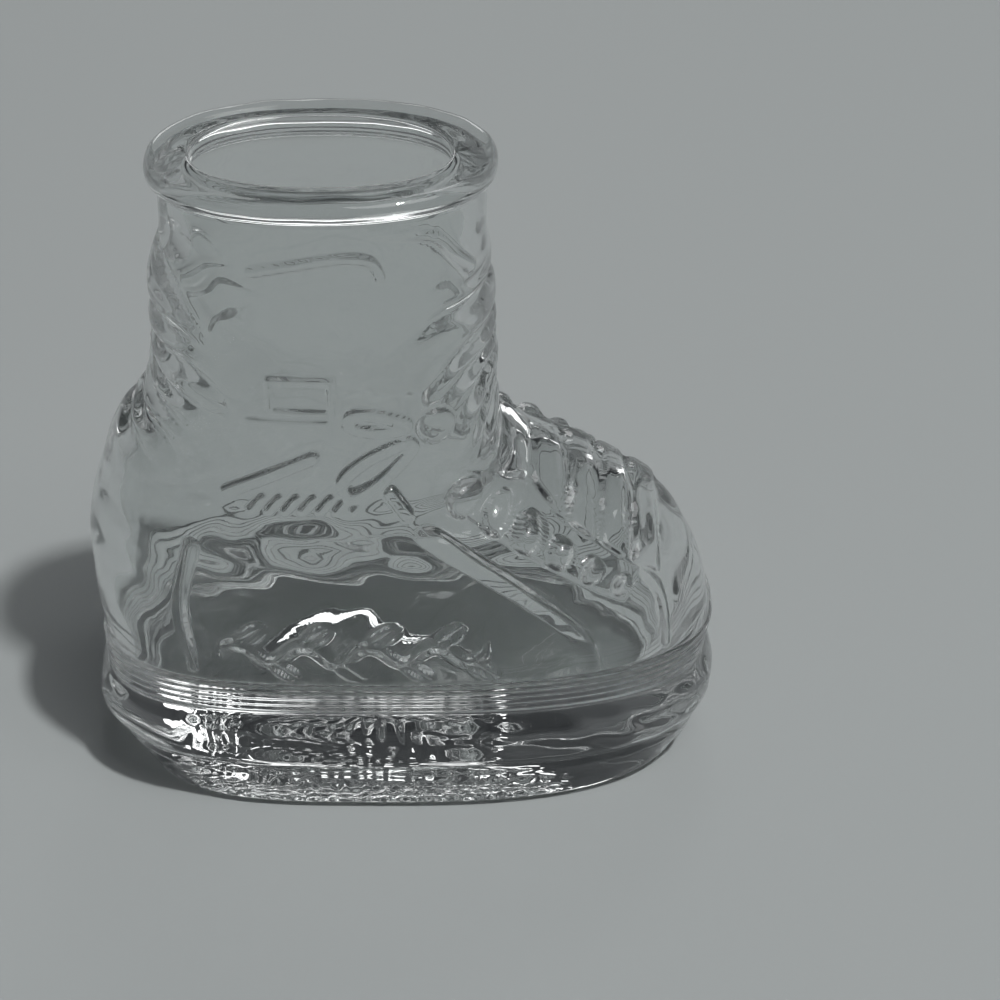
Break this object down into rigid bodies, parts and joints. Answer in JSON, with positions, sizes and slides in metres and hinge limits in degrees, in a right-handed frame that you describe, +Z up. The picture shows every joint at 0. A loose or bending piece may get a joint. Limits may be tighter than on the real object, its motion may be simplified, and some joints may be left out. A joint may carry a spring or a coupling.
{
  "type": "shot glass",
  "caption": "Clear shot glass in the form of a laced skate boot, with a thick oval lip, a hollow shaft and a heavy flat sole.",
  "frame": {"origin": "middle of the sole's box on the table", "axes": "+X to the toe, +Y to the boot's left side, +Z up"},
  "size_m": [0.0726, 0.036, 0.076],
  "materials": {
    "glass": "clear, fire polished"
  },
  "bodies": {
    "root": {"sole_base": "glass", "welt_band": "glass", "boot_upper": "glass", "rim_lip": "glass", "lace_bar_1": "glass", "lace_bar_2": "glass", "lace_bar_3": "glass", "lace_bar_4": "glass", "lace_bar_5": "glass", "eyestay_right": "glass", "eyestay_left": "glass", "bow_knot": "glass", "bow_loop_long": "glass", "bow_loop_short": "glass", "lace_end_long": "glass", "lace_end_short": "glass", "vamp_seam_right": "glass", "vamp_seam_left": "glass", "heel_seam_right": "glass", "heel_seam_left": "glass", "toe_cap_seam": "glass", "vine_band": "glass"}
  },
  "joints": []
}
